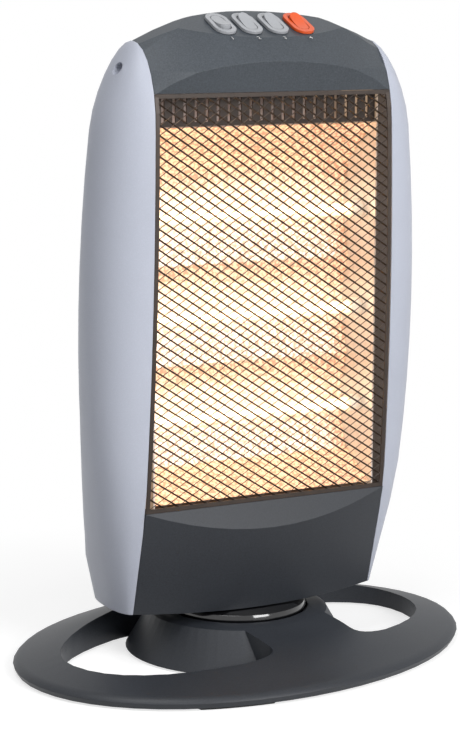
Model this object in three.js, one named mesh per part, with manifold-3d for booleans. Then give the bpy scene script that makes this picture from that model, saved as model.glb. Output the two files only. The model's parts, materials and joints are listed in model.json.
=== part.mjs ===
// Free-standing halogen heater: a swinging head with three quartz tubes on an oval foot.
// Millimetres, +Z up, the front faces -Y. The origin lies on the floor under the foot's centre.
import * as THREE from 'three';
import { mergeVertices } from 'three/addons/utils/BufferGeometryUtils.js';
import Module from 'manifold-3d';

const wasm = await Module();
wasm.setup();

// ---------------------------------------------------------------- driving dimensions

const clearance = 0.3; // between pieces that touch
const headTurn = -11; // degrees that the head has swung from the middle of its travel
const swivelBack = 5; // swivel axis behind the foot's centre

// foot
const footLength = 380;
const footWidth = 274;
const footOutlinePower = 2.02; // 2 is a true ellipse, more is squarer
const footWall = 3;
const padHeight = 1.4;
const rimHeight = 10;
const hubHeight = 33;
const hubTopRadius = 68;
const hubFootRadius = 87;
const holeEndWidth = 30.5; // ring beside each hole at the foot's ends
const holeFrontWidth = 41.5; // the same at the foot's front
const holeRearWidth = 60; // the same at its back
const holeOutlinePower = 2.15;
const bridgeWidth = 80; // between the two holes
const holeCorner = 14;
const padLength = 50;
const padWidth = 9;
const padPlace = 97; // from the foot's middle to each pad's middle

// swivel and its drive
const discRadius = 53;
const discHeight = 10;
const recessDepth = 5;
const washerThickness = 1.2;
const spigotRadius = 14;
const wireBore = 8;
const hubFloor = 3;
const bossRadius = 28;
const armThickness = 2.5;
const motorOffset = 32;
const motorRadius = 22;
const motorHeight = 12;
const crankRadius = 18;
const crankPinRadius = 2;
const swingPerCrankTurn = 0.3; // the head's turn over the crank's turn
const slotPlay = 2.8; // each side of the crank pin in the drive arm
const plateThickness = 2;
const plungerRadius = 4;
const plungerTravel = 3.5;

// head
const headBottom = 44;
const headTop = 463.5; // top of the side panels
const shoulderHeight = 400;
const shoulderPower = 2.1;
const sideShoulderPower = 1.75; // the same for the sides, which round off more softly
const crestFront = 18; // the head's highest line, in front of the swivel axis
const wall = 2.5;
const halfWidthTop = 98; // middle of the head to a side panel's front edge
const halfWidthBottom = 102;
const frontDepth = 56.6;
const frontPeak = 345; // height where the front stands out most
const frontBarrelRadius = 2350;
const chinRake = 0.26; // how fast the lower front falls back
const rearDepth = 50;
const rearLean = 0.11; // how fast the back leans forward
const rearFootRadius = 14;
const crown = 14; // how far the middle of the covers stands out from their sides
const crownTop = 24; // the same over the top of the cap
const chinDroop = 3.2;
const sideBulge = 36; // how far a side panel stands out sideways
const sideBulgePeak = 290; // height where it stands out most
const sideBulgeFoot = 26; // below the head, where the bulge would close
const sideBulgeRise = 215; // from the peak to where it would close above
const sideBulgeFullness = 0.9;
const spineRise = 105; // height over which a side panel's widest line comes forward to the crest

// guard, lamps and reflector
const guardBottom = 124;
const guardTop = 427;
const guardThickness = 1.2;
const guardBorder = 4.5;
const strandWidth = 1.6;
const gapWidth = 24.4;
const gapHeight = 16.8;
const lampHeights = [186, 261, 336];
const lampDepth = 20; // in front of the swivel axis
const tubeRadius = 5;
const tubeWall = 1;
const tubeLength = 168;
const filamentRadius = 1.6;
const endCapRadius = 7;
const endCapLength = 20;
const sheet = 1.2;
const bracketPlace = 93;
const reflectorBottom = 128;
const reflectorTop = 402;
const reflectorFront = 40;
const troughDepth = 2;
const cuspDepth = 8;
const slotPitch = 9;
const slotWidth = 2.6;
const shieldDepth = 6;

// control panel
const panelTilt = 25.2; // degrees, leaning towards the user
const creaseFront = 47; // the panel's front edge, in front of the swivel axis
const creaseRise = 2.1; // the panel's front edge, above the top of the side panels
const creaseHeight = headTop + creaseRise;
const facetRadius = 270; // plan radius of the facet that falls away below the panel
const facetSlope = 0.8; // how fast the facet comes forward as it falls
const switchPitch = 21.7;
const switchFront = 29;
const bezelWidth = 17;
const bezelLength = 31;
const bezelHeight = 2;
const keyWidth = 9.4;
const keyLength = 21;
const keyTilt = 9; // degrees each way
const switchDepth = 18;

// side panel screws and cable gland
const screwFront = 26;
const screwHeight = 444;
const screwRecessRadius = 4.5;
const glandHeight = 84;
const glandRadius = 6;

const footTop = rimHeight;
const rimBottom = padHeight + clearance;
const recessFloor = hubHeight - recessDepth;
const discBottom = recessFloor + washerThickness + 2 * clearance;
const discTop = discBottom + discHeight;
const armTop = recessFloor - hubFloor - clearance;

// ---------------------------------------------------------------- materials

function material(colour, roughness, metalness = 0) {
  return new THREE.MeshStandardMaterial({ color: colour, roughness, metalness });
}

const charcoal = material(0x3b3e43, 0.5);
const darkGrey = material(0x4a4f55, 0.45);
const silver = material(0xb4b8c2, 0.35, 0.3);
const glossBlack = material(0x101113, 0.15);
const guardBrown = material(0x3a2a24, 0.5, 0.6);
const aluminium = material(0xd9cdbb, 0.3, 0.9);
const steel = material(0x8d8d90, 0.4, 0.9);
const quartz = material(0xffb46a, 0.1);
const glowing = material(0xff8a2a, 0.6);
const ceramic = material(0xe8e2d6, 0.7);
const keyGrey = material(0xbfc2c6, 0.4);
const keyOrange = material(0xf06a24, 0.4);
const rubber = material(0x1a1a1a, 0.9);
const white = material(0xd8d8d2, 0.5);

// ---------------------------------------------------------------- geometry helpers

const radians = THREE.MathUtils.degToRad;
const { lerp, clamp } = THREE.MathUtils;

// Joins equal corners, drops collapsed triangles and turns the faces outwards.
function weld(geometry) {
  const bare = new THREE.BufferGeometry();
  bare.setAttribute('position', geometry.getAttribute('position').clone());
  if (geometry.index) bare.setIndex(geometry.index.clone());
  const merged = mergeVertices(bare, 1e-4);
  const corners = merged.index.array;
  const position = merged.getAttribute('position');
  const [a, b, c] = [new THREE.Vector3(), new THREE.Vector3(), new THREE.Vector3()];
  const kept = [];
  let volume = 0;
  for (let i = 0; i < corners.length; i += 3) {
    const [p, q, r] = [corners[i], corners[i + 1], corners[i + 2]];
    if (p === q || q === r || r === p) continue;
    kept.push(p, q, r);
    a.fromBufferAttribute(position, p);
    b.fromBufferAttribute(position, q);
    c.fromBufferAttribute(position, r);
    volume += a.dot(b.cross(c));
  }
  if (volume < 0) kept.reverse();
  merged.setIndex(kept);
  return merged;
}

function solid(geometry) {
  const welded = weld(geometry);
  return new wasm.Manifold(new wasm.Mesh({
    numProp: 3,
    vertProperties: Float32Array.from(welded.getAttribute('position').array),
    triVerts: Uint32Array.from(welded.index.array),
  }));
}

function geometryOf(manifold) {
  const mesh = manifold.getMesh();
  const geometry = new THREE.BufferGeometry();
  geometry.setAttribute('position', new THREE.BufferAttribute(mesh.vertProperties, 3));
  geometry.setIndex(new THREE.BufferAttribute(mesh.triVerts, 1));
  return geometry;
}

function join(first, ...others) {
  return others.reduce((whole, piece) => whole.add(piece), first);
}

function cut(first, ...tools) {
  return tools.reduce((whole, tool) => whole.subtract(tool), first);
}

// A closed body through rings of corners: the rings are convex and share one count.
function loft(rings) {
  const count = rings[0].length;
  const corners = rings.flat();
  const triangles = [];
  for (let ring = 0; ring + 1 < rings.length; ring += 1) {
    for (let i = 0; i < count; i += 1) {
      const near = ring * count + i;
      const next = ring * count + (i + 1) % count;
      triangles.push(near, next, next + count, near, next + count, near + count);
    }
  }
  for (const [start, flip] of [[0, true], [(rings.length - 1) * count, false]]) {
    for (let i = 1; i + 1 < count; i += 1) {
      triangles.push(start, start + (flip ? i + 1 : i), start + (flip ? i : i + 1));
    }
  }
  const geometry = new THREE.BufferGeometry().setFromPoints(corners);
  geometry.setIndex(triangles);
  return geometry;
}

// A profile of [radius, height] pairs turned about Z.
function revolve(profile, segments = 32) {
  const points = profile.map(([radius, height]) => new THREE.Vector2(radius, height));
  return new THREE.LatheGeometry(points, segments).rotateX(Math.PI / 2);
}

function ring(inner, outer, low, high, segments = 32) {
  return revolve([[inner, low], [outer, low], [outer, high], [inner, high], [inner, low]], segments);
}

function rod(radius, low, high, segments = 24) {
  return revolve([[0, low], [radius, low], [radius, high], [0, high]], segments);
}

function box(low, high) {
  const size = high.map((value, i) => value - low[i]);
  const middle = high.map((value, i) => (value + low[i]) / 2);
  return new THREE.BoxGeometry(...size).translate(...middle);
}

function shapeOf(points) {
  return new THREE.Shape(points.map(([x, y]) => new THREE.Vector2(x, y)));
}

// A plan outline raised from one height to another.
function prism(shape, low, high, curveSegments = 12) {
  const settings = { depth: high - low, bevelEnabled: false, curveSegments };
  return new THREE.ExtrudeGeometry(shape, settings).translate(0, 0, low);
}

// An outline in Y and Z run along X.
function acrossX(shape, low, high, curveSegments = 12) {
  const settings = { depth: high - low, bevelEnabled: false, curveSegments };
  const geometry = new THREE.ExtrudeGeometry(shape, settings);
  return geometry.rotateY(Math.PI / 2).rotateX(Math.PI / 2).translate(low, 0, 0);
}

function roundedSlot(width, length) {
  const [half, reach] = [width / 2, (length - width) / 2];
  const shape = new THREE.Shape();
  shape.absarc(0, reach, half, 0, Math.PI);
  shape.absarc(0, -reach, half, Math.PI, 2 * Math.PI);
  return shape;
}

const heater = new THREE.Group();
const swinging = new THREE.Group();
swinging.position.y = swivelBack;
swinging.rotation.z = radians(headTurn);
heater.add(swinging);

function place(name, piece, look, parent = heater) {
  const geometry = piece.isBufferGeometry ? weld(piece) : geometryOf(piece);
  const mesh = new THREE.Mesh(geometry, look);
  mesh.name = name;
  parent.add(mesh);
  return mesh;
}

// ---------------------------------------------------------------- foot

function footOutline(inset, count = 56) {
  const power = 2 / footOutlinePower;
  return Array.from({ length: count }, (_, i) => {
    const turn = (2 * Math.PI * i) / count;
    const [c, s] = [Math.cos(turn), Math.sin(turn)];
    return new THREE.Vector2(
      (footLength / 2 - inset) * Math.sign(c) * Math.abs(c) ** power,
      (footWidth / 2 - inset) * Math.sign(s) * Math.abs(s) ** power,
    );
  });
}

// The foot's outer form: a rounded rim, a sloping deck and a round hub.
function footBody(inset, low) {
  const rim = [[2, low], [0, rimBottom + 4], [0.8, footTop - 3], [3, footTop - 0.9], [6.5, footTop]];
  const rings = rim.map(([back, height]) => footOutline(inset + back)
    .map((point) => new THREE.Vector3(point.x, point.y, height - (height > low ? inset : 0))));
  const outer = footOutline(inset + 6.5);
  const hub = (radius) => outer.map((_, i) => {
    const turn = (2 * Math.PI * i) / outer.length;
    return new THREE.Vector2(radius * Math.cos(turn), swivelBack + radius * Math.sin(turn));
  });
  const shoulder = hub(hubTopRadius - inset);
  const steps = 4;
  for (let step = 1; step <= steps; step += 1) {
    const share = step / steps;
    const height = lerp(footTop, hubHeight - 1.5, share) + 2 * Math.sin(Math.PI * share);
    rings.push(outer.map((point, i) => {
      const spot = point.clone().lerp(shoulder[i], share);
      return new THREE.Vector3(spot.x, spot.y, height - inset);
    }));
  }
  rings.push(hub(hubTopRadius - 3 - inset).map((spot) => new THREE.Vector3(spot.x, spot.y, hubHeight - inset)));
  return solid(loft(rings));
}

// One of the two holes beside the hub; grow widens it for the inside of its walls.
function footHole(side, grow) {
  const power = 2 / holeOutlinePower;
  const length = footLength / 2 - holeEndWidth + grow;
  const front = footWidth / 2 - holeFrontWidth + grow;
  const rear = footWidth / 2 - holeRearWidth + grow;
  const inner = bridgeWidth / 2 - grow;
  const corner = (1 - (inner / length) ** holeOutlinePower) ** (1 / holeOutlinePower);
  const curve = [];
  const steps = 22;
  for (let i = 0; i <= steps; i += 1) {
    const turn = Math.PI * (i / steps - 0.5);
    const x = length * Math.abs(Math.cos(turn)) ** power;
    const y = (turn < 0 ? -front : rear) * Math.abs(Math.sin(turn)) ** power;
    if (x > inner + holeCorner) curve.push(new THREE.Vector2(x, y));
  }
  const shape = new THREE.Shape();
  shape.moveTo(inner, rear * corner - holeCorner);
  shape.lineTo(inner, holeCorner - front * corner);
  shape.quadraticCurveTo(inner, -front * corner, curve[0].x, curve[0].y);
  for (const point of curve.slice(1)) shape.lineTo(point.x, point.y);
  shape.quadraticCurveTo(inner, rear * corner, inner, rear * corner - holeCorner);
  const hole = solid(prism(shape, -5, hubHeight + 5, 6));
  const slope = (hubFootRadius - hubTopRadius) / hubHeight;
  const top = hubHeight + 10;
  const cone = revolve([
    [0, -10], [hubFootRadius + 10 * slope - grow, -10], [hubFootRadius - top * slope - grow, top], [0, top],
  ], 56).translate(0, swivelBack, 0);
  const kept = hole.subtract(solid(cone));
  return side > 0 ? kept : kept.mirror([1, 0, 0]);
}

const padSpots = [[-1, -1], [1, -1], [1, 1], [-1, 1]];

// A strip that follows the rim's outline about a pad's place.
function rimStrip([sideX, sideY], length, inner, outer) {
  const halfWidth = footWidth / 2;
  const edge = (x, inset) => {
    const reach = 1 - (x / (footLength / 2)) ** footOutlinePower;
    return halfWidth * reach ** (1 / footOutlinePower) - inset;
  };
  const low = padPlace - length / 2;
  const steps = 6;
  const outside = [];
  const inside = [];
  for (let i = 0; i <= steps; i += 1) {
    const x = low + (length * i) / steps;
    outside.push([sideX * x, sideY * edge(x, outer)]);
    inside.unshift([sideX * x, sideY * edge(x, inner)]);
  }
  return shapeOf([...outside, ...inside]);
}

function footShell() {
  const outside = footBody(0, rimBottom);
  const holes = [1, -1].map((side) => footHole(side, 0));
  const walls = [1, -1].map((side) => footHole(side, footWall));
  const recessRadius = discRadius + 1.5;
  const ceiling = rod(recessRadius + footWall, recessFloor - hubFloor, hubHeight, 48)
    .translate(0, swivelBack, 0);
  const hollow = cut(footBody(footWall, -1), ...walls, solid(ceiling));
  const lands = padSpots.map((spot) => solid(
    prism(rimStrip(spot, padLength + 4, padWidth + 7, 2.6), rimBottom, footTop - footWall + 0.5),
  ));
  const recess = rod(recessRadius, recessFloor, hubHeight + 5, 48).translate(0, swivelBack, 0);
  const bore = rod(spigotRadius + clearance, 0, hubHeight, 32).translate(0, swivelBack, 0);
  return cut(join(outside.subtract(hollow), ...lands), ...holes, solid(recess), solid(bore));
}

place('foot_shell', footShell(), charcoal);

padSpots.forEach((spot, i) => {
  const pad = prism(rimStrip(spot, padLength, padWidth + 5, 5), 0, padHeight);
  place(`rubber_foot_${i + 1}`, pad, rubber);
});

const plateTop = rimBottom + 0.5 + plateThickness;
const plungerSpot = [-40, -30];

function hubPlate() {
  const slope = (hubFootRadius - hubTopRadius) / hubHeight;
  const radius = hubFootRadius - footWall - plateTop * slope - clearance;
  const plate = solid(ring(0, radius, plateTop - plateThickness, plateTop, 48));
  const hole = rod(plungerRadius + clearance, 0, plateTop + 1).translate(...plungerSpot, 0);
  return plate.subtract(solid(hole));
}

place('hub_bottom_plate', hubPlate(), steel).position.y = swivelBack;
place('swivel_washer', ring(wireBore + 12, discRadius - 3, recessFloor + clearance,
  recessFloor + clearance + washerThickness), white).position.y = swivelBack;

// ---------------------------------------------------------------- swing drive in the hub

const motorTop = plateTop + clearance + motorHeight;

function swingMotor() {
  const body = solid(rod(motorRadius, plateTop + clearance, motorTop, 32));
  const neck = solid(rod(5, motorTop - 1, motorTop + 1.2));
  const lugShape = roundedSlot(9, 2 * motorRadius + 16);
  const lugs = solid(prism(lugShape, motorTop - 3, motorTop - 1.5).rotateZ(Math.PI / 2));
  return join(body, neck, lugs);
}

const motor = place('swing_motor', swingMotor(), steel);
motor.position.set(0, swivelBack + motorOffset, 0);

function crankArm() {
  const low = motorTop + 1.2 + clearance;
  const shape = roundedSlot(9, crankRadius + 9);
  const arm = solid(prism(shape, low, low + 2).translate(0, crankRadius / 2, 0));
  const pin = solid(rod(crankPinRadius, low + 1, armTop - 0.2).translate(0, crankRadius, 0));
  return arm.add(pin);
}

const crank = place('crank', crankArm(), steel);
crank.position.copy(motor.position);
crank.rotation.z = radians(headTurn / swingPerCrankTurn);

function driveArm() {
  const reach = motorOffset + crankRadius;
  const slotHalf = crankPinRadius + slotPlay;
  const slotLength = 2 * (crankRadius + slotHalf) - 8;
  const slotMiddle = reach + slotHalf - slotLength / 2;
  const outline = roundedSlot(2 * slotHalf + 8, reach + slotHalf + 4 + spigotRadius + 8);
  const offset = (reach + slotHalf + 4 - spigotRadius - 8) / 2;
  const arm = solid(prism(outline, armTop - armThickness, armTop).translate(0, offset, 0));
  const collar = solid(rod(spigotRadius + 5, armTop - armThickness, armTop));
  const slot = solid(prism(roundedSlot(2 * slotHalf, slotLength), 0, hubHeight).translate(0, slotMiddle, 0));
  return cut(arm.add(collar), slot, solid(rod(wireBore, 0, hubHeight)));
}

place('drive_arm', driveArm(), steel, swinging);

const flangeBottom = plateTop + plungerTravel + 0.5;
const plungerTop = flangeBottom + 3;
const plunger = revolve([
  [0, 0.1], [plungerRadius - 1, 0.1], [plungerRadius, 1.2], [plungerRadius, flangeBottom],
  [plungerRadius + 2, flangeBottom], [plungerRadius + 2, flangeBottom + 1.5], [2, flangeBottom + 1.5],
  [2, plungerTop], [0, plungerTop],
], 16);
place('tip_switch_plunger', plunger, white)
  .position.set(plungerSpot[0], swivelBack + plungerSpot[1], 0);

const tipSwitch = box([-10, -4, plungerTop + clearance], [10, 4, recessFloor - hubFloor - clearance]);
place('tip_switch', tipSwitch, rubber)
  .position.set(plungerSpot[0], swivelBack + plungerSpot[1], 0);

// ---------------------------------------------------------------- swivel disc

function swivelDisc() {
  const radius = discRadius;
  return revolve([
    [wireBore, recessFloor - hubFloor], [spigotRadius, recessFloor - hubFloor], [spigotRadius, discBottom],
    [radius - 4, discBottom], [radius - 1.2, discBottom + 1.2], [radius, discBottom + 4],
    [radius, discTop - 5], [radius - 1.2, discTop - 2], [radius - 4.5, discTop],
    [bossRadius, discTop], [bossRadius, headBottom + 2 - clearance],
    [wireBore, headBottom + 2 - clearance], [wireBore, recessFloor - hubFloor],
  ], 48);
}

place('swivel_disc', swivelDisc(), glossBlack, swinging);

// ---------------------------------------------------------------- head form

function shoulder(z, power = shoulderPower) {
  if (z <= shoulderHeight) return 1;
  const rise = Math.min(1, (z - shoulderHeight) / (headTop - shoulderHeight));
  return (1 - rise ** power) ** (1 / power);
}

function halfWidth(z) {
  return lerp(halfWidthBottom, halfWidthTop, clamp((z - guardBottom) / (guardTop - guardBottom), 0, 1));
}

function frontBelow(z) {
  const barrel = (height) => frontDepth - (height - frontPeak) ** 2 / (2 * frontBarrelRadius);
  return z < guardBottom ? barrel(guardBottom) - chinRake * (guardBottom - z) : barrel(z);
}

function rearBelow(z) {
  const depth = rearDepth - rearLean * (z - headBottom);
  const corner = clamp(headBottom + rearFootRadius - z, 0, rearFootRadius);
  return depth - rearFootRadius + Math.sqrt(rearFootRadius ** 2 - corner ** 2);
}

const frontAt = (z) => crestFront + (frontBelow(Math.min(z, shoulderHeight)) - crestFront) * shoulder(z);
const rearAt = (z) => (rearBelow(Math.min(z, shoulderHeight)) + crestFront) * shoulder(z) - crestFront;

// Points of the head's side outline with the way they move when a cover is crowned or thinned.
function sideOutline(bottom) {
  const heights = [bottom, 60, 75, 98, guardBottom, 200, 275, 340, shoulderHeight];
  const rise = headTop - shoulderHeight;
  const shoulderSteps = 6;
  const bend = 2 / shoulderPower;
  const quarter = (depth, crest) => Array.from({ length: shoulderSteps }, (_, i) => {
    const turn = ((i + 1) / shoulderSteps) * (Math.PI / 2);
    const [c, s] = [Math.cos(turn), Math.sin(turn)];
    const reach = depth - crest;
    const away = new THREE.Vector2(c ** (2 - bend) / reach, s ** (2 - bend) / rise).normalize();
    return [crest + reach * Math.max(0, c) ** bend, shoulderHeight + rise * s ** bend, away.x, away.y];
  });
  const front = heights.map((z) => [frontAt(z), z, 1, 0]).concat(quarter(frontBelow(shoulderHeight), crestFront));
  const rear = heights.map((z) => [rearAt(z), z, 1, 0]).concat(quarter(rearBelow(shoulderHeight), -crestFront));
  const facing = front.map(([y, z, ny, nz]) => ({ y: -y, z, ny: -ny, nz, front: true }));
  const behind = rear.slice(0, -1).reverse().map(([y, z, ny, nz]) => ({ y, z, ny, nz, front: false }));
  return facing.concat(behind);
}

// The body between the two side panels, inset from its outer face.
function middleBody(inset, bottom = headBottom, overhang = 0) {
  const outline = sideOutline(bottom);
  const steps = 12;
  const rings = [];
  for (let i = 0; i <= steps; i += 1) {
    const share = (2 * i) / steps - 1;
    rings.push(outline.map(({ y, z, ny, nz, front }) => {
      const low = clamp(1 - (z - headBottom) / (guardBottom - headBottom), 0, 1);
      const droop = front ? chinDroop * (1 - share ** 2) * low : 0;
      const reach = halfWidth(z) + overhang;
      const swell = lerp(crown, crownTop, clamp(nz, 0, 1)) * (1 - share ** 2);
      return new THREE.Vector3(share * reach, y + ny * (swell - inset), z + nz * (swell - inset) - droop);
    }));
  }
  return solid(loft(rings));
}

// Places in the side view that lie outside the head.
const ahead = -110;
const behind = 150;
const above = 600;

// A region of the side view, as wide as the head.
function region(points) {
  return solid(acrossX(shapeOf(points), -200, 200));
}

// ---------------------------------------------------------------- side panels

function bulgeAt(z) {
  if (z < sideBulgePeak) {
    const fall = (sideBulgePeak - z) / (sideBulgePeak - headBottom + sideBulgeFoot);
    return sideBulge * (1 - fall ** 2) ** sideBulgeFullness;
  }
  const rise = (z - sideBulgePeak) / sideBulgeRise;
  return sideBulge * Math.sqrt(1 - rise ** 2) * shoulder(z, sideShoulderPower);
}

function spineAt(z) {
  return -crestFront * clamp((z - headBottom) / spineRise, 0, 1);
}

// One side panel's outer form as D-shaped sections, from its bottom to its top.
function panelBody(inset, bottom) {
  const top = headTop - inset;
  const heights = [];
  for (let i = 0; i <= 11; i += 1) heights.push(lerp(bottom, shoulderHeight, i / 11));
  for (let i = 1; i <= 7; i += 1) {
    heights.push(shoulderHeight + (top - 0.05 - shoulderHeight) * Math.sin((i / 7) * (Math.PI / 2)));
  }
  const arcSteps = 12;
  return solid(loft(heights.map((z) => {
    const outerZ = z <= shoulderHeight ? z : shoulderHeight
      + ((z - shoulderHeight) * (headTop - shoulderHeight)) / (top - shoulderHeight);
    const scale = inset ? 1 : 0;
    const thin = scale * inset * Math.min(1, shoulder(outerZ) * 1.5);
    const base = halfWidth(z) + clearance - (inset ? 5 : 0);
    const edge = halfWidth(z) + clearance;
    const spine = spineAt(outerZ);
    const bulge = Math.max(0.02, bulgeAt(outerZ) - thin);
    const front = Math.max(crestFront + 0.02, frontAt(outerZ) - thin);
    const rear = Math.max(0.02 - crestFront, rearAt(outerZ) - thin);
    const section = [new THREE.Vector3(base, -front, z)];
    for (let i = 0; i <= arcSteps; i += 1) {
      const turn = (i / arcSteps) * Math.PI;
      const c = Math.cos(turn);
      const y = c > 0 ? spine + (-front - spine) * c : spine + (rear - spine) * -c;
      section.push(new THREE.Vector3(edge + bulge * Math.sin(turn), y, z));
    }
    section.push(new THREE.Vector3(base, rear, z));
    return section;
  })));
}

function sidePanel(side) {
  const outside = panelBody(0, headBottom);
  const shell = outside.subtract(panelBody(wall, headBottom + wall));
  const inner = halfWidthTop + clearance + 2;
  const boss = solid(rod(screwRecessRadius + 2, inner, 150).rotateY(Math.PI / 2)
    .translate(0, -screwFront, screwHeight));
  const hole = solid(rod(screwRecessRadius, inner + 4, 150).rotateY(Math.PI / 2)
    .translate(0, -screwFront, screwHeight));
  const shank = solid(rod(1.8, 50, 150, 12).rotateY(Math.PI / 2).translate(0, -screwFront, screwHeight));
  const panel = cut(shell.add(boss.intersect(outside)), hole, shank);
  return side > 0 ? panel : panel.mirror([1, 0, 0]);
}

function panelScrew(side) {
  const seat = halfWidthTop + 3 * clearance + 6;
  const screw = revolve([
    [0, halfWidthTop + clearance], [1.5, halfWidthTop + clearance], [1.5, seat], [3.8, seat],
    [3.8, seat + 1.4], [2.4, seat + 2.4], [0, seat + 2.4],
  ], 16);
  return screw.rotateY((side * Math.PI) / 2).translate(0, -screwFront, screwHeight);
}

for (const [side, word] of [[-1, 'left'], [1, 'right']]) {
  place(`${word}_side_panel`, sidePanel(side), silver, swinging);
  place(`${word}_panel_screw`, panelScrew(side), steel, swinging);
}

// ---------------------------------------------------------------- covers of the middle body

const guardFrontTop = frontAt(guardTop);
const guardFrontBottom = frontAt(guardBottom);
const rearSeam = 440;
const browSlope = 3; // rise of the brow under the cap over its reach
const sillSlope = 2; // fall of the sill above the chin over its reach

const panelRise = Math.tan(radians(panelTilt));
const panelHeightAt = (y) => creaseHeight + panelRise * (y + creaseFront);

// Everything behind the curved facet in front of the control panel.
function behindFacet(inset) {
  const reach = 130;
  const spread = Math.asin(reach / facetRadius);
  const steps = 24;
  const level = (z) => {
    const front = -creaseFront + facetSlope * (z - creaseHeight) + inset * Math.hypot(1, facetSlope);
    const outline = Array.from({ length: steps + 1 }, (_, i) => {
      const turn = spread * ((2 * i) / steps - 1);
      return new THREE.Vector3(facetRadius * Math.sin(turn), front + facetRadius * (1 - Math.cos(turn)), z);
    });
    return [...outline, new THREE.Vector3(reach, 200, z), new THREE.Vector3(-reach, 200, z)];
  };
  return solid(loft([level(guardTop - 20), level(headTop + 60)]));
}

function abovePanel(drop) {
  return region([
    [-90, panelHeightAt(-90) - drop], [20, panelHeightAt(20) - drop], [20, 600], [-90, 600],
  ]);
}

const switchPlaces = [-1.5, -0.5, 0.5, 1.5].map((step) => step * switchPitch);

// Lays a piece drawn on a flat panel onto the tilted control panel.
function ontoPanel(geometry, x) {
  return geometry.rotateX(radians(panelTilt)).translate(x, -switchFront, panelHeightAt(-switchFront));
}

function topCap() {
  const brow = (inset) => [
    [-guardFrontTop + inset, guardTop - inset],
    [-guardFrontTop - 30 + inset, guardTop + 30 * browSlope - inset],
  ];
  const [nearBrow, farBrow] = brow(0);
  const outsideRegion = region([
    nearBrow, farBrow, [ahead, above], [behind, above], [behind, rearSeam], [2, rearSeam], [2, guardTop],
  ]);
  const [nearInner, farInner] = brow(wall);
  const insideRegion = region([
    nearInner, farInner, [ahead, above], [behind, above], [behind, rearSeam - 9], [2, rearSeam - 9],
    [2, guardTop - 9], [-guardFrontTop + wall, guardTop - 9],
  ]);
  const outside = middleBody(0).subtract(abovePanel(0)).intersect(behindFacet(0)).intersect(outsideRegion);
  const inside = middleBody(wall, headBottom, 4).subtract(abovePanel(wall))
    .intersect(behindFacet(wall)).intersect(insideRegion);
  const openings = switchPlaces.map((x) => solid(ontoPanel(
    prism(roundedSlot(keyWidth + 4.6, keyLength + 4.6), -20, 20, 6), x,
  )));
  return cut(outside, inside, ...openings);
}

place('top_cap', topCap(), darkGrey, swinging);

function chinCover() {
  const sill = (inset) => [
    [-guardFrontBottom + inset, guardBottom - inset],
    [-guardFrontBottom - 40 + inset, guardBottom - 40 * sillSlope - inset],
  ];
  const [near, far] = sill(0);
  const outside = middleBody(0).intersect(region([near, far, [ahead, 0], [0, 0], [0, guardBottom]]));
  const [nearInner, farInner] = sill(wall);
  const inside = middleBody(wall, headBottom - 8, 4).intersect(region([
    nearInner, farInner, [ahead, 0], [5, 0], [5, guardBottom - wall],
  ]));
  return outside.subtract(inside);
}

place('lower_front_cover', chinCover(), charcoal, swinging);

function rearCover() {
  const top = rearSeam - clearance;
  const outside = middleBody(0).intersect(region([[clearance, 0], [behind, 0], [behind, top], [clearance, top]]));
  const inside = middleBody(wall, headBottom - 8, 4).intersect(region([
    [-20, 0], [behind, 0], [behind, above], [-20, above],
  ]));
  const bosses = [[-70, 170], [70, 170], [-70, 370], [70, 370]].map(([x, z]) => solid(
    rod(4, shieldDepth + sheet + clearance, 100, 16).rotateX(-Math.PI / 2).translate(x, 0, z),
  ).intersect(middleBody(0)));
  const louvres = [];
  for (const [start, rows] of [[345, 6], [120, 4]]) {
    for (let row = 0; row < rows; row += 1) {
      for (const side of [-1, 1]) {
        const z = start + row * 11;
        louvres.push(solid(box([side * 34 - 27, 8, z], [side * 34 + 27, 110, z + 4])));
      }
    }
  }
  const glandHole = solid(rod(glandRadius + clearance, 10, 120).rotateX(-Math.PI / 2)
    .translate(0, 0, glandHeight));
  return cut(join(outside.subtract(inside), ...bosses), ...louvres, glandHole);
}

place('rear_cover', rearCover(), charcoal, swinging);

function bottomCover() {
  const slab = solid(box([-120, -60, headBottom + 2], [120, 80, headBottom + 2 + wall]));
  const fit = middleBody(wall + clearance, headBottom - 8, -clearance);
  return cut(slab.intersect(fit), solid(rod(wireBore, 0, 100)));
}

place('bottom_cover', bottomCover(), charcoal, swinging);

const rearFace = rearAt(glandHeight - glandRadius - 3) + crown;
place('cord_gland', revolve([
  [3.5, rearFace - 12], [glandRadius, rearFace - 12], [glandRadius, rearFace + clearance],
  [glandRadius + 3, rearFace + clearance], [glandRadius + 2, rearFace + 4], [3.5, rearFace + 9],
  [3.5, rearFace - 12],
], 16).rotateX(-Math.PI / 2).translate(0, 0, glandHeight), rubber, swinging);

// ---------------------------------------------------------------- switches

function switchHousing() {
  const flange = solid(prism(roundedSlot(bezelWidth, bezelLength), clearance, bezelHeight + clearance, 8));
  const body = solid(prism(roundedSlot(keyWidth + 4, keyLength + 4), -switchDepth, 1, 6));
  const pocket = solid(prism(roundedSlot(keyWidth + 1.2, keyLength + 1.8), -10, 10, 8));
  return flange.add(body).subtract(pocket);
}

// A key with a dished top, drawn level about its pivot.
function rockerKey() {
  const half = keyLength / 2;
  const shape = new THREE.Shape();
  shape.moveTo(-half, -0.5);
  shape.lineTo(-3, -6);
  shape.lineTo(3, -6);
  shape.lineTo(half, -0.5);
  shape.lineTo(half, 4);
  shape.quadraticCurveTo(0, 1.5, -half, 4);
  const block = solid(acrossX(shape, -keyWidth / 2, keyWidth / 2, 8));
  return block.intersect(solid(prism(roundedSlot(keyWidth, keyLength), -10, 10, 8)));
}

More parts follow.
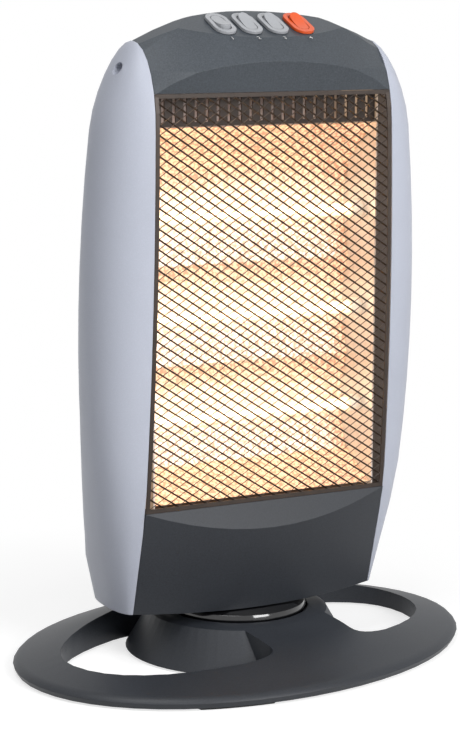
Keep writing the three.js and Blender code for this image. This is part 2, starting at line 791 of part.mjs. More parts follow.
switchPlaces.forEach((x, i) => {
  const orange = i === 3;
  const tilt = i === 0 ? -keyTilt : keyTilt;
  const look = orange ? keyOrange : keyGrey;
  const panel = new THREE.Group();
  panel.position.set(x, -switchFront, panelHeightAt(-switchFront));
  panel.rotation.x = radians(panelTilt);
  swinging.add(panel);
  place(`switch_housing_${i + 1}`, switchHousing(), look, panel);
  const key = place(`rocker_${i + 1}`, rockerKey(), look, panel);
  key.rotation.x = radians(tilt);
});

// ---------------------------------------------------------------- guard

function frontGuard() {
  const [low, high] = [guardBottom + clearance, guardTop - clearance];
  const [half, margin] = [halfWidthTop - clearance, guardBorder];
  const columns = Math.floor((2 * (half - margin)) / (gapWidth / 2));
  const rows = 4 * Math.floor((high - low - 2 * margin) / (2 * gapHeight));
  const [stepX, stepZ] = [(2 * (half - margin)) / columns, (high - low - 2 * margin) / rows];
  const slant = Math.hypot(stepX, stepZ);
  const [reachX, reachZ] = [
    stepX - (strandWidth / 2) * (slant / stepZ), stepZ - (strandWidth / 2) * (slant / stepX),
  ];
  const gaps = [];
  for (let column = 0; column <= columns; column += 1) {
    for (let row = column % 2; row <= rows; row += 2) {
      const [x, z] = [-half + margin + column * stepX, low + margin + row * stepZ];
      gaps.push(shapeOf([[x + reachX, z], [x, z + reachZ], [x - reachX, z], [x, z - reachZ]]));
    }
  }
  const through = solid(prism(gaps, -100, 0).rotateX(Math.PI / 2).translate(0, -100, 0));
  const field = box([-half + margin, -100, low + margin], [half - margin, 0, high - margin]);
  const front = [[-frontAt(low), low]];
  for (let row = 0; row <= rows; row += 4) {
    const z = low + margin + row * stepZ;
    front.push([-frontAt(z), z]);
  }
  front.push([-frontAt(high), high]);
  const back = front.map(([y, z]) => [y + guardThickness, z]).reverse();
  const sheetMetal = solid(acrossX(shapeOf([...front, ...back]), -half, half));
  const guard = geometryOf(sheetMetal.subtract(through.intersect(solid(field))));
  const position = guard.getAttribute('position');
  for (let i = 0; i < position.count; i += 1) {
    position.setX(i, (position.getX(i) * (halfWidth(position.getZ(i)) - clearance)) / half);
  }
  return guard;
}

place('front_guard', frontGuard(), guardBrown, swinging);

// ---------------------------------------------------------------- reflector and lamps

function reflector() {
  const pitch = lampHeights[1] - lampHeights[0];
  const [low, high] = [lampHeights[0] - pitch / 2, lampHeights[2] + pitch / 2];
  const line = [[-reflectorFront, reflectorBottom]];
  const steps = 24;
  for (let i = 0; i <= steps; i += 1) {
    const z = lerp(low, high, i / steps);
    const phase = Math.abs(Math.sin((Math.PI * (z - low)) / pitch));
    line.push([troughDepth - cuspDepth * (1 - phase), z]);
  }
  line.push([-reflectorFront, reflectorTop]);
  const back = line.map(([y, z]) => [y + sheet, z]).reverse();
  const half = bracketPlace - clearance;
  return acrossX(shapeOf([...line, ...back]), -half, half);
}

place('reflector', reflector(), aluminium, swinging);

function heatBaffle() {
  const half = bracketPlace - clearance;
  const [low, high] = [reflectorTop + 1, guardTop - 1];
  const slab = box([-half, -reflectorFront - sheet, low], [half, -reflectorFront, high]);
  const count = Math.floor((2 * half - 8) / slotPitch);
  const slots = [];
  for (let i = 0; i <= count; i += 1) {
    const x = (i - count / 2) * slotPitch;
    const slot = box([x - slotWidth / 2, -reflectorFront - 5, low + 3], [x + slotWidth / 2, 0, high - 3]);
    slots.push(solid(slot));
  }
  return cut(solid(slab), ...slots);
}

place('heat_baffle', heatBaffle(), guardBrown, swinging);

function lampBracket(side) {
  const plate = solid(box([bracketPlace, -reflectorFront - 3, guardBottom + clearance],
    [bracketPlace + sheet, shieldDepth + sheet, guardTop - 1]));
  const holes = lampHeights.map((z) => solid(
    rod(endCapRadius + clearance, 80, 120).rotateY(Math.PI / 2).translate(0, -lampDepth, z),
  ));
  const bracket = cut(plate, ...holes);
  return side > 0 ? bracket : bracket.mirror([1, 0, 0]);
}

const shieldHalf = bracketPlace - clearance;
place('heat_shield', box([-shieldHalf, shieldDepth, reflectorBottom],
  [shieldHalf, shieldDepth + sheet, guardTop - 1]), steel, swinging);
place('thermal_cutout', rod(8, shieldDepth + sheet + clearance, shieldDepth + sheet + 8)
  .rotateX(-Math.PI / 2).translate(30, 0, 320), white, swinging);
place('terminal_block', box([-20, -6, headBottom + 2 + wall + clearance], [20, 10, headBottom + 18]),
  white, swinging);

for (const [side, word] of [[-1, 'left'], [1, 'right']]) {
  place(`${word}_lamp_bracket`, lampBracket(side), steel, swinging);
}

['bottom', 'middle', 'top'].forEach((word, i) => {
  const lamp = new THREE.Group();
  lamp.position.set(0, -lampDepth, lampHeights[i]);
  lamp.rotation.y = Math.PI / 2;
  swinging.add(lamp);
  const reach = tubeLength / 2;
  place(`${word}_quartz_tube`, ring(tubeRadius - tubeWall, tubeRadius, -reach, reach, 16), quartz, lamp);
  place(`${word}_filament`, rod(filamentRadius, -reach, reach, 8), glowing, lamp);
  for (const [side, hand] of [[-1, 'left'], [1, 'right']]) {
    const low = reach + clearance;
    const cap = rod(endCapRadius, low, low + endCapLength, 16);
    place(`${word}_${hand}_end_cap`, side > 0 ? cap : cap.rotateX(Math.PI), ceramic, lamp);
  }
});

export default heater;
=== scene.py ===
# A free-standing halogen heater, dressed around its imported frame. Everything is in metres, the
# foot's front faces -Y, and the head's own pieces are drawn facing -Y and then turned with it.
import json
import math

import bpy
import numpy as np
from mathutils import Matrix, Vector


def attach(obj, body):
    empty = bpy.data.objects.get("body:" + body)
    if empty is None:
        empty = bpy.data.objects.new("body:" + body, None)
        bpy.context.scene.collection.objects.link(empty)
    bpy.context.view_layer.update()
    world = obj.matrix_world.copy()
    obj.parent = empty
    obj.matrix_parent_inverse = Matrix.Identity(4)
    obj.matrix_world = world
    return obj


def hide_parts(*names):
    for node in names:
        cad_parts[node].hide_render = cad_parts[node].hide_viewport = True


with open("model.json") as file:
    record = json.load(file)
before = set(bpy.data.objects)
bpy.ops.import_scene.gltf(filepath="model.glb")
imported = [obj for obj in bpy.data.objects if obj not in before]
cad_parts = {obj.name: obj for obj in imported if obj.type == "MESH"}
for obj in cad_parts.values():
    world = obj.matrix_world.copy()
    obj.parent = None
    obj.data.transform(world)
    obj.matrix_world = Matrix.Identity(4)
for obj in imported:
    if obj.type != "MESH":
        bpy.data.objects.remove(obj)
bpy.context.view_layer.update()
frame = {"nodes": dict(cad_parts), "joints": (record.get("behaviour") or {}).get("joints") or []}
nodes = frame["nodes"]

# ---------------------------------------------------------------- camera
# It looks at the heater from the front left and a little above, through a long lens, as a
# photographer of small appliances would. Its lens is worked out for a picture of 460 by 730 pixels.

PICTURE_HEIGHT = 730
FOCAL_PIXELS = 2239
SENSOR = 36
CAMERA_PLACE = (-1.0809, -1.2694, 0.4998)
CAMERA_YAW, CAMERA_PITCH, CAMERA_ROLL = (math.radians(a) for a in (40.09, 9.53, 0.25))

lens = bpy.data.cameras.new("camera")
lens.sensor_width = SENSOR
lens.lens = FOCAL_PIXELS * SENSOR / PICTURE_HEIGHT
camera = bpy.data.objects.new("camera", lens)
bpy.context.scene.collection.objects.link(camera)
camera.matrix_world = (
    Matrix.Translation(CAMERA_PLACE)
    @ Matrix.Rotation(-CAMERA_YAW, 4, "Z")
    @ Matrix.Rotation(math.pi / 2 - CAMERA_PITCH, 4, "X")
    @ Matrix.Rotation(CAMERA_ROLL, 4, "Z")
)
bpy.context.scene.camera = camera
bpy.context.scene.view_settings.view_transform = "Standard"

# ---------------------------------------------------------------- floor and studio
# A matt white floor in a white room. The room lights the object softly, and the camera and
# the reflections see plain white wherever the object isn't.


class Shade:
    """A socket in a node tree. Sums on it add Math nodes, and node() adds any other kind."""

    def __init__(self, tree, socket=None):
        self.tree, self.socket = tree, socket

    def node(self, kind, settings=None, values=None, output=0):
        made = self.tree.nodes.new(kind)
        for name, value in (settings or {}).items():
            setattr(made, name, value)
        for name, value in (values or {}).items():
            if isinstance(value, Shade):
                self.tree.links.new(value.socket, made.inputs[name])
            else:
                made.inputs[name].default_value = value
        return Shade(self.tree, made.outputs[output]) if made.outputs else None

    def maths(self, operation, *values):
        return self.node("ShaderNodeMath", {"operation": operation}, dict(enumerate(values)))

    def __add__(self, other):
        return self.maths("ADD", self, other)

    def __sub__(self, other):
        return self.maths("SUBTRACT", self, other)

    def __rsub__(self, other):
        return self.maths("SUBTRACT", other, self)

    def __mul__(self, other):
        return self.maths("MULTIPLY", self, other)

    def __truediv__(self, other):
        return self.maths("DIVIDE", self, other)

    __radd__ = __add__
    __rmul__ = __mul__

    def rising(self, low, high):
        """0 at low, 1 at high, even between them and level beyond them."""
        return self.node("ShaderNodeMapRange", {}, {0: self, 1: low, 2: high})

    def between(self, first, second):
        """The colour first where this is 0 and second where it is 1."""
        values = {0: self, 6: (*first, 1), 7: (*second, 1)}
        return self.node("ShaderNodeMix", {"data_type": "RGBA"}, values, 2)

    def blend(self, first, second):
        """The same for colours that vary over the surface."""
        return self.node("ShaderNodeMix", {"data_type": "RGBA"}, {0: self, 6: first, 7: second}, 2)


def seen_directly(tree):
    """1 for rays from the camera and for those that gloss, metal and glass send on."""
    kinds = ("Is Camera Ray", "Is Glossy Ray", "Is Transmission Ray")
    direct, glossy, sent_on = (Shade(tree).node("ShaderNodeLightPath", output=k) for k in kinds)
    return direct.maths("MAXIMUM", direct, glossy.maths("MAXIMUM", glossy, sent_on))


WHITE = (1, 1, 1, 1)
FILL_LEVEL = 0.22
FLOOR_REACH = 6
FLOOR_ALBEDO = 0.8
FLOOR_OWN_WHITE = 0.70  # what the camera sees of the floor even in full shadow
FLOOR_SHADED_PART = 0.45
SHADOW_REACH, ALL_WHITE = 0.22, 0.42  # the floor turns plain white between these distances

world = bpy.data.worlds.new("studio")
bpy.context.scene.world = world
world.use_nodes = True
world.node_tree.nodes.clear()
seen = seen_directly(world.node_tree)
fill = seen.node("ShaderNodeBackground", {}, {"Color": WHITE, "Strength": FILL_LEVEL})
white_room = seen.node("ShaderNodeBackground", {}, {"Color": WHITE, "Strength": 1.0})
room = seen.node("ShaderNodeMixShader", {}, {0: seen, 1: fill, 2: white_room})
seen.node("ShaderNodeOutputWorld", {}, {"Surface": room})

paper = bpy.data.materials.new("white studio paper")
paper.use_nodes = True
paper.node_tree.nodes.clear()
seen = seen_directly(paper.node_tree)
lit = seen.node("ShaderNodeBsdfDiffuse", {}, {"Color": (FLOOR_ALBEDO,) * 3 + (1,)})
shaded = seen.node("ShaderNodeBsdfDiffuse", {}, {"Color": (FLOOR_SHADED_PART,) * 3 + (1,)})
own = seen.node("ShaderNodeEmission", {}, {"Color": WHITE, "Strength": FLOOR_OWN_WHITE})
near_white = seen.node("ShaderNodeAddShader", {}, {0: shaded, 1: own})
far_white = seen.node("ShaderNodeEmission", {}, {"Color": WHITE, "Strength": 1.0})
spot = seen.node("ShaderNodeTexCoord", output="Object")
distance = spot.node("ShaderNodeVectorMath", {"operation": "LENGTH"}, {0: spot}, "Value")
distance = distance.rising(SHADOW_REACH, ALL_WHITE)
bright = seen.node("ShaderNodeMixShader", {}, {0: distance, 1: near_white, 2: far_white})
floor_look = seen.node("ShaderNodeMixShader", {}, {0: seen, 1: lit, 2: bright})
seen.node("ShaderNodeOutputMaterial", {}, {"Surface": floor_look})


def add_mesh(name, corners, faces, look):
    mesh = bpy.data.meshes.new(name)
    mesh.from_pydata([tuple(c) for c in corners], [], [tuple(f) for f in faces])
    mesh.materials.append(look)
    mesh.shade_flat()
    made = bpy.data.objects.new(name, mesh)
    bpy.context.scene.collection.objects.link(made)
    return made


floor_signs = ((-1, -1), (1, -1), (1, 1), (-1, 1))
floor_corners = [(x * FLOOR_REACH, y * FLOOR_REACH, 0) for x, y in floor_signs]
floor = add_mesh("floor", floor_corners, [(0, 1, 2, 3)], paper)


def soft_box(name, place, target, size, watts):
    """A square studio lamp that faces its target."""
    lamp = bpy.data.lights.new(name, "AREA")
    lamp.size, lamp.energy = size, watts
    holder = bpy.data.objects.new(name, lamp)
    bpy.context.scene.collection.objects.link(holder)
    holder.location = place
    holder.rotation_euler = (Vector(target) - Vector(place)).to_track_quat("-Z", "Y").to_euler()
    holder.visible_camera = False


HEATER_MIDDLE = (0, 0, 0.25)
soft_box("key lamp", (0.05, -2.0, 1.05), HEATER_MIDDLE, 1.0, 38)
soft_box("top lamp", (-0.75, -0.35, 1.75), HEATER_MIDDLE, 0.9, 14)

# ---------------------------------------------------------------- foot
# The oval foot is one injection moulding in charcoal plastic with a fine satin grain. Its rim,
# hub and carrying holes come from the frame, and only the shading of its edges is eased here.

FLOW_MARKS, SPECKLE, SPARK_GRAIN = 9, 900, 2200  # noise cells in a metre, about
EASED_EDGE = 0.0006
WELD = 0.00002


def finish(name, recipe, constants):
    """A material on the Principled shader. recipe gives what varies over the piece."""
    material = bpy.data.materials.new(name)
    material.use_nodes = True
    material.node_tree.nodes.clear()
    place = Shade(material.node_tree).node("ShaderNodeTexCoord", output="Object")
    shader = place.node("ShaderNodeBsdfPrincipled", {}, {**constants, **recipe(place)})
    place.node("ShaderNodeOutputMaterial", {}, {"Surface": shader})
    return material


def noise(place, scale, detail=2):
    values = {"Vector": place, "Scale": scale, "Detail": detail}
    return place.node("ShaderNodeTexNoise", {}, values)


def cells(place, scale):
    return place.node("ShaderNodeTexVoronoi", {}, {"Vector": place, "Scale": scale})


def bumped(height, depth, strength, under=None):
    values = {"Height": height, "Distance": depth, "Strength": strength}
    if under:
        values["Normal"] = under
    return height.node("ShaderNodeBump", {}, values)


def eased_edges(place):
    return place.node("ShaderNodeBevel", {"samples": 4}, {"Radius": EASED_EDGE})


def moulded(colour, roughness, speckle=0.25, grain_depth=0.00003):
    """The recipe of a moulded plastic: faint flow marks, speckle and a fine sparked grain."""
    dark = tuple(c * (1 - speckle) for c in colour)
    light = tuple(c * (1 + speckle) for c in colour)

    def recipe(place):
        flow = noise(place, FLOW_MARKS, 3)
        mottle = 0.45 * flow + 0.55 * noise(place, SPECKLE, 1)
        return {
            "Base Color": mottle.rising(0.3, 0.7).between(dark, light),
            "Roughness": roughness + 0.12 * (flow - 0.5),
            "Normal": bumped(noise(place, SPARK_GRAIN, 1), grain_depth, 0.6, eased_edges(place)),
        }

    return recipe


def smoothing(angle):
    """A node group that shades smoothly across edges flatter than the angle."""
    group = bpy.data.node_groups.new("smooth by angle", "GeometryNodeTree")
    for direction in ("INPUT", "OUTPUT"):
        group.interface.new_socket("Geometry", in_out=direction, socket_type="NodeSocketGeometry")
    start = Shade(group).node("NodeGroupInput")
    bend = start.node("GeometryNodeInputMeshEdgeAngle")
    flat = bend.node("FunctionNodeCompare", {"operation": "LESS_THAN"}, {0: bend, 1: angle})
    whole = start.node("GeometryNodeSetShadeSmooth", {"domain": "FACE"}, {"Geometry": start})
    set_edges = {"Geometry": whole, "Shade Smooth": flat}
    edges = start.node("GeometryNodeSetShadeSmooth", {"domain": "EDGE"}, set_edges)
    start.node("NodeGroupOutput", {}, {0: edges})
    return group


round_forms = smoothing(math.radians(32))
creased_forms = smoothing(math.radians(11))


def dress(look, slot, *names, group=round_forms):
    """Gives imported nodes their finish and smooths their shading."""
    for name in names:
        node = nodes[name]
        node.data.materials.clear()
        node.data.materials.append(look)
        node.modifiers.new("weld", "WELD").merge_threshold = WELD
        node.modifiers.new("smooth", "NODES").node_group = group


charcoal_recipe = moulded((0.021, 0.024, 0.030), 0.46)
charcoal = finish("satin charcoal plastic", charcoal_recipe, {"Specular IOR Level": 0.35})
dress(charcoal, "charcoal_plastic", "foot_shell")

# ---------------------------------------------------------------- rubber pads
# Four moulded pads of matt black rubber sit under the foot's rim. They keep it from sliding.

rubber = finish("matt rubber", moulded((0.012, 0.012, 0.012), 0.8), {})
dress(rubber, "black_rubber", *(f"rubber_foot_{i}" for i in range(1, 5)))

# ---------------------------------------------------------------- works in the hub
# A zinc plated plate closes the hub from below. Over it are the swing motor with its crank and
# drive arm, the tip-over switch and its plunger, and a white washer that carries the disc.

SPANGLES, TARNISH = 260, 90


def zinc_recipe(place):
    spangle = noise(place, SPANGLES)
    return {
        "Base Color": spangle.between((0.42, 0.42, 0.44), (0.66, 0.66, 0.68)),
        "Roughness": 0.28 + 0.25 * noise(place, TARNISH),
        "Normal": bumped(spangle, 0.00004, 0.4),
    }


zinc = finish("zinc plated steel", zinc_recipe, {"Metallic": 1.0})
acetal = finish("white acetal", moulded((0.72, 0.72, 0.69), 0.5, 0.05), {})
dress(zinc, "zinc_steel", "hub_bottom_plate", "swing_motor", "crank", "drive_arm")
dress(acetal, "white_plastic", "swivel_washer", "tip_switch_plunger")
dress(rubber, "black_rubber", "tip_switch")

# ---------------------------------------------------------------- swivel disc
# The head stands on this disc and swings with it. It is a moulding in glossy black plastic,
# smooth enough to mirror the room.

gloss_recipe = moulded((0.006, 0.006, 0.007), 0.12, 0.1, 0.000005)
gloss_black = finish("gloss black plastic", gloss_recipe, {"Coat Weight": 0.6, "Coat Roughness": 0.05})
dress(gloss_black, "gloss_black_plastic", "swivel_disc")

# ---------------------------------------------------------------- side panels
# Two deep shells in silver painted plastic wrap the sides of the head. A screw is sunk into
# each of them near its top.

FLAKES, PAINT_FLOW = 1500, 7


def paint_recipe(place):
    flake = cells(place, FLAKES)
    flow = noise(place, PAINT_FLOW, 3)
    mottle = (0.7 * flow + 0.3 * flake).rising(0.2, 0.8)
    return {
        "Base Color": mottle.between((0.37, 0.39, 0.455), (0.45, 0.475, 0.55)),
        "Roughness": 0.36 + 0.1 * flow,
        "Normal": bumped(flake, 0.00001, 0.35, eased_edges(place)),
    }


silver = finish("silver paint", paint_recipe, {"Specular IOR Level": 0.2})
dress(silver, "silver_plastic", "left_side_panel", "right_side_panel")
dress(zinc, "zinc_steel", "left_panel_screw", "right_panel_screw")

# ---------------------------------------------------------------- covers of the head
# The cap, the cover under the guard, the bottom and the louvred back are separate mouldings.
# The cap is a shade lighter. Its control panel is cut flat and the facet below it is curved
# in plan, and their edges stay sharp. The cord's rubber gland sits low in the back.

cap_recipe = moulded((0.042, 0.050, 0.060), 0.42, 0.35, 0.00004)
dark_grey = finish("dark grey plastic", cap_recipe, {"Specular IOR Level": 0.4})
dress(dark_grey, "dark_grey_plastic", "top_cap", group=creased_forms)
dress(charcoal, "charcoal_plastic", "lower_front_cover", "rear_cover", "bottom_cover")
dress(rubber, "black_rubber", "cord_gland")

# ---------------------------------------------------------------- front guard and baffle
# The guard is expanded steel mesh in dark brown enamel. Its strands are slit and pulled from
# one sheet, so each is a flat ribbon that leans with its upper edge forward. A plain strip
# edges the mesh. The slotted baffle behind its top has the same enamel.

swing = next(j for j in frame["joints"] if j["name"] == "head_swing")
head_turn = -math.radians(sum(swing["range_deg"]) / 2)  # it rests off the middle of its swing
swing_axis = Matrix.Translation((swing["pos_m"][0], swing["pos_m"][1], 0))
HEAD = swing_axis @ Matrix.Rotation(head_turn, 4, "Z")


def in_head(name):
    """The corners of one of the head's nodes, as they lie when the head faces straight ahead."""
    back = HEAD.inverted()
    return np.array([back @ v.co for v in nodes[name].data.vertices])


GAP_WIDTH, GAP_HEIGHT = 0.0113, 0.0073
RIBBON_WIDTH, RIBBON_THICKNESS = 0.0015, 0.0004
RIBBON_LEAN = math.radians(56)
EDGE_STRIP = 0.003
STRIP_THICKNESS = 0.0009
STRIP_PARTS = 24
BARREL = {"peak": 0.345, "depth": 0.0566, "radius": 2.35}  # the guard's curve, from its side
SHOULDER = {"height": 0.400, "top": 0.4635, "crest": 0.018, "power": 2.1}

sheet = in_head("front_guard")
low, high = sheet[:, 2].min(), sheet[:, 2].max()
half_low, half_high = (sheet[abs(sheet[:, 2] - z) < 0.001, 0].max() for z in (low, high))


def barrel(z):
    return BARREL["depth"] - (z - BARREL["peak"]) ** 2 / (2 * BARREL["radius"])


def guard_depth(z):
    """How far the guard's outer face stands in front of the swing's axis."""
    if z <= SHOULDER["height"]:
        return barrel(z)
    share = (z - SHOULDER["height"]) / (SHOULDER["top"] - SHOULDER["height"])
    fall = (1 - share ** SHOULDER["power"]) ** (1 / SHOULDER["power"])
    return SHOULDER["crest"] + (barrel(SHOULDER["height"]) - SHOULDER["crest"]) * fall


def guard_point(across, z):
    """A point on the guard, across running from -1 to 1 over its width."""
    half = half_low + (half_high - half_low) * (z - low) / (high - low)
    return np.array((across * half, RIBBON_WIDTH / 2 - guard_depth(z), z))


corners, faces = [], []


def add_bar(start, end, wide, thick):
    """A straight bar with a rectangular section, given by two half-width vectors."""
    first = len(corners)
    for point in (start, end):
        corners.extend(point + a * wide + b * thick for a, b in ((1, 1), (-1, 1), (-1, -1), (1, -1)))
    faces.append((first, first + 1, first + 2, first + 3))
    faces.append((first + 7, first + 6, first + 5, first + 4))
    for i in range(4):
        j = (i + 1) % 4
        faces.append((first + i, first + 4 + i, first + 4 + j, first + j))


half_middle = (half_low + half_high) / 2
inner = 1 - EDGE_STRIP / half_middle
inner_height = high - low - 2 * EDGE_STRIP
columns = round(2 * (half_middle - EDGE_STRIP) / (GAP_WIDTH / 2))
rows = round(inner_height / (GAP_HEIGHT / 2))
forward = np.array((0, -1, 0))
for column in range(columns):
    for row in range(rows):
        left, right = (inner * (2 * c / columns - 1) for c in (column, column + 1))
        bottom, top = (low + EDGE_STRIP + inner_height * r / rows for r in (row, row + 1))
        climbs = (column + row) % 2 == 0
        start = guard_point(left, bottom if climbs else top)
        end = guard_point(right, top if climbs else bottom)
        along = (end - start) / np.linalg.norm(end - start)
        upward = np.cross(along, forward)
        upward = upward if upward[2] > 0 else -upward
        wide = upward * math.cos(RIBBON_LEAN) + forward * math.sin(RIBBON_LEAN)
        thick = np.cross(along, wide)
        reach = along * RIBBON_THICKNESS / 2
        wide, thick = wide * RIBBON_WIDTH / 2, thick * RIBBON_THICKNESS / 2
        add_bar(start - reach, end + reach, wide, thick)

strip_half = EDGE_STRIP / 2
strip_thick = np.array((0, STRIP_THICKNESS / 2, 0))
sideways, upright = np.array((strip_half, 0, 0)), np.array((0, 0, strip_half))
levels = np.linspace(low, high, STRIP_PARTS + 1)
for side in (-1, 1):
    for below, above in zip(levels, levels[1:]):
        start, end = (guard_point(side, z) - side * sideways for z in (below, above))
        add_bar(start, end, sideways, strip_thick)
for z in (low + strip_half, high - strip_half):
    add_bar(guard_point(-1, z), guard_point(1, z), upright, strip_thick)

PATCHES, ENAMEL_GRAIN = 120, 900


def enamel_recipe(place):
    patch = noise(place, PATCHES, 3)
    return {
        "Base Color": patch.between((0.018, 0.012, 0.009), (0.044, 0.028, 0.020)),
        "Roughness": 0.30 + 0.25 * patch,
        "Normal": bumped(noise(place, ENAMEL_GRAIN), 0.00003, 0.5),
    }


enamel = finish("dark brown enamel", enamel_recipe, {"Metallic": 0.3})
guard = add_mesh("guard_mesh", corners, faces, enamel)
guard.data.transform(HEAD)
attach(guard, "head")
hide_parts("front_guard")
dress(enamel, "guard_paint", "heat_baffle")

# ---------------------------------------------------------------- reflector
# Bright aluminium sheet with an embossed stucco, rolled into a trough behind each lamp. The lamps'
# light on it is painted as a glow of its own, white-hot behind them and orange between them,
# brightest to the left.

LAMPS = ("bottom", "middle", "top")
lamp_heights = [float(in_head(f"{lamp}_filament")[:, 2].mean()) for lamp in LAMPS]
# The painted glow lies in bands, one by each lamp.
BAND_REACH = 0.019
BAND_RISE = 0.004  # a band's middle lies this far above its lamp
WAVES, WAVE_HEIGHT = 14, 0.016  # the bands wander up and down over the rolled sheet
END_BOW = 0.04  # and bow towards their ends
STREAKS = (12, 12, 90)
DIMPLES = 400
PAINTED_GLOW_STRENGTH = 0.88


def height_and_side(place):
    """The height on the head and the distance across it, as numbers."""
    values = {0: place, 1: HEAD.to_3x3() @ Vector((1, 0, 0))}
    across = place.node("ShaderNodeVectorMath", {"operation": "DOT_PRODUCT"}, values, "Value")
    return place.node("ShaderNodeSeparateXYZ", {}, {0: place}, "Z"), across


def glow_recipe(place):
    height, across = height_and_side(place)
    wave = WAVE_HEIGHT * (noise(place, WAVES, 3) - 0.5)
    level = height + wave + END_BOW * across * across.maths("ABSOLUTE", across)
    band = 0.0
    for lamp_height in lamp_heights:
        off = (level - (lamp_height + BAND_RISE)) / BAND_REACH
        fall = -1.0 * off * off
        band = band + fall.maths("EXPONENT", fall)
    # The painted glow fades towards the right end, and a little at the far left end.
    to_right = across.rising(0.105, -0.02)
    to_left = across.rising(-0.105, -0.06)
    stretched = place.node("ShaderNodeVectorMath", {"operation": "MULTIPLY"}, {0: place, 1: STREAKS})
    streak = 0.5 * (noise(stretched, 1, 3) - 0.5)
    painted_glow_level = band * (0.52 + 0.66 * to_right * (0.7 + 0.3 * to_left)) + streak
    dimple = cells(place, DIMPLES)
    pattern = dimple.rising(0.2, 0.7)
    warm = pattern.between((0.95, 0.58, 0.34), (0.38, 0.11, 0.03))
    hot = pattern.between((1.0, 0.97, 0.86), (1.0, 0.74, 0.46))
    return {
        "Base Color": pattern.between((0.80, 0.70, 0.58), (0.55, 0.45, 0.36)),
        "Emission Color": painted_glow_level.rising(0.15, 0.95).blend(warm, hot),
        "Roughness": 0.25 + 0.2 * pattern,
        "Normal": bumped(dimple, 0.0006, 0.8),
    }


painted_glow_levels = {"Metallic": 0.5, "Emission Strength": PAINTED_GLOW_STRENGTH}
glow = finish("embossed aluminium with painted glow", glow_recipe, painted_glow_levels)
dress(glow, "bright_aluminium", "reflector")

# ---------------------------------------------------------------- brackets and shield
# Two plated steel brackets carry the lamps' ends. The lamps' light on them is painted as a faint
# glow. A plated shield stands behind the reflector, with the thermal cut-out on its back. The
# terminal block sits on the bottom cover.

WARM_SHEEN = 70


def warmed(recipe):
    """The same finish with the lamps' light painted on it as a warm glow."""

    def warm_recipe(place):
        painted_sheen = noise(place, WARM_SHEEN).between((0.95, 0.55, 0.28), (1.0, 0.78, 0.55))
        return {**recipe(place), "Emission Color": painted_sheen}

    return warm_recipe


painted_light_levels = {"Metallic": 1.0, "Emission Strength": 0.3}
zinc_with_painted_lamp_light = finish("zinc plated steel with painted lamp light", warmed(zinc_recipe), painted_light_levels)
dress(zinc, "zinc_steel", "heat_shield")
dress(zinc_with_painted_lamp_light, "zinc_steel", "left_lamp_bracket", "right_lamp_bracket")
dress(acetal, "white_plastic", "thermal_cutout", "terminal_block")

# ---------------------------------------------------------------- lamps
# Three tubes of quartz glass, each with a coiled tungsten filament along it. Their ends are
# cemented into caps of steatite, a cream coloured ceramic.

COIL_PITCH = 0.0014
COIL_WIRE = 0.00028
COIL_STEPS = 10


def hot_recipe(place):
    flicker = noise(place, 60)
    return {
        "Base Color": flicker.between((0.9, 0.5, 0.2), (1.0, 0.7, 0.4)),
        "Emission Color": flicker.between((1.0, 0.72, 0.42), (1.0, 0.86, 0.62)),
    }


def quartz_recipe(place):
    haze = noise(place, 40)
    return {
        "Base Color": haze.between((1.0, 0.78, 0.55), (1.0, 0.9, 0.75)),
        "Emission Color": haze.between((1.0, 0.70, 0.42), (1.0, 0.82, 0.6)),
        "Roughness": 0.05 + 0.05 * haze,
    }


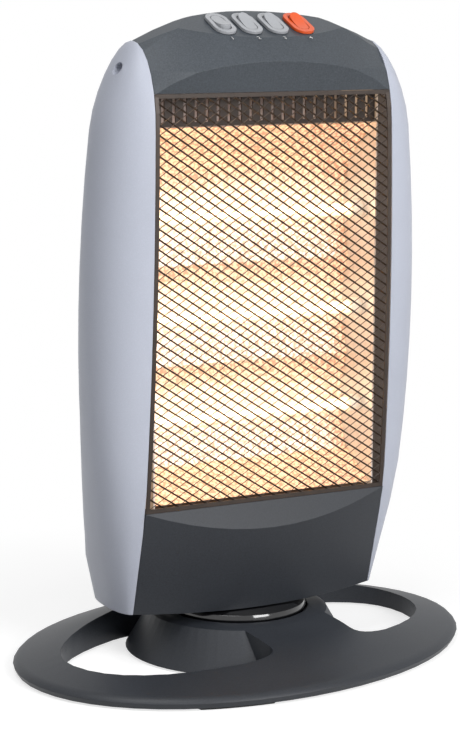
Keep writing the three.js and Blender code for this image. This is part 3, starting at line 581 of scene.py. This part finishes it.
hot = finish("hot tungsten", hot_recipe, {"Emission Strength": 9.0})
quartz_levels = {"Alpha": 0.35, "Emission Strength": 0.95, "IOR": 1.46}
quartz = finish("lit quartz", quartz_recipe, quartz_levels)
# The caps get the lamps' light painted on them as a faint glow.
steatite_recipe = warmed(moulded((0.75, 0.71, 0.63), 0.6, 0.1))
steatite = finish("steatite", steatite_recipe, {"Emission Strength": 0.4})
for lamp in LAMPS:
    rod = in_head(f"{lamp}_filament")
    left, right = rod[:, 0].min(), rod[:, 0].max()
    middle = rod.mean(axis=0)
    radius = (rod[:, 2].max() - rod[:, 2].min()) / 2 - COIL_WIRE
    count = round((right - left) / COIL_PITCH) * COIL_STEPS + 1
    wire = bpy.data.curves.new(f"{lamp}_coil", "CURVE")
    wire.dimensions = "3D"
    wire.bevel_depth, wire.bevel_resolution = COIL_WIRE, 0
    spline = wire.splines.new("POLY")
    spline.points.add(count - 1)
    for i, point in enumerate(spline.points):
        turn = 2 * math.pi * i / COIL_STEPS
        x = left + (right - left) * i / (count - 1)
        spot = (x, middle[1] + radius * math.cos(turn), middle[2] + radius * math.sin(turn))
        point.co = (*(HEAD @ Vector(spot)), 1)
    wire.materials.append(hot)
    coil = bpy.data.objects.new(f"{lamp}_coil", wire)
    bpy.context.scene.collection.objects.link(coil)
    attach(coil, "head")
    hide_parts(f"{lamp}_filament")
    dress(quartz, "quartz", f"{lamp}_quartz_tube")
    dress(steatite, "steatite", f"{lamp}_left_end_cap", f"{lamp}_right_end_cap")

# ---------------------------------------------------------------- switches
# Four rocker switches are clipped into the control panel. Housing and key are moulded in the
# same colour: light grey for the first three and orange for the last.

KEY_GREY = (0.33, 0.34, 0.36)
KEY_ORANGE = (0.66, 0.085, 0.012)
SWITCHES = range(1, 5)
ORANGE_SWITCH = 4

grey_keys = finish("light grey key plastic", moulded(KEY_GREY, 0.35, 0.06), {})
orange_keys = finish("orange key plastic", moulded(KEY_ORANGE, 0.35, 0.06), {})
for i in SWITCHES:
    pair = f"switch_housing_{i}", f"rocker_{i}"
    if i == ORANGE_SWITCH:
        dress(orange_keys, "orange_key_plastic", *pair)
    else:
        dress(grey_keys, "grey_key_plastic", *pair)

# ---------------------------------------------------------------- switch numbers
# A plain number is pad printed in white ink on the panel, in front of each switch. It has the
# thickness of a heavy print.

NUMBER_HEIGHT = 0.0055
NUMBER_THICKNESS = 0.00008
NUMBER_PLACE = 0.0205  # from the middle of a switch down the panel
PANEL_TILT = math.radians(25.2)

ink = finish("white printing ink", moulded((0.6, 0.6, 0.6), 0.6, 0.08), {})
down_panel = Vector((0, -math.cos(PANEL_TILT), -math.sin(PANEL_TILT)))
for i in SWITCHES:
    housing = in_head(f"switch_housing_{i}")
    middle = (housing.min(axis=0) + housing.max(axis=0)) / 2
    key = next(j for j in frame["joints"] if j["name"] == f"key_{i}_rock")
    pivot = HEAD.inverted() @ Vector(key["pos_m"])
    letters = bpy.data.curves.new(f"number_{i}", "FONT")
    letters.body, letters.size = str(i), NUMBER_HEIGHT
    letters.align_x = letters.align_y = "CENTER"
    letters.extrude = NUMBER_THICKNESS
    letters.materials.append(ink)
    number = bpy.data.objects.new(f"number_{i}", letters)
    bpy.context.scene.collection.objects.link(number)
    spot = Vector((middle[0], pivot.y, pivot.z)) + down_panel * NUMBER_PLACE
    number.matrix_world = HEAD @ Matrix.Translation(spot) @ Matrix.Rotation(PANEL_TILT, 4, "X")
    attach(number, "head")
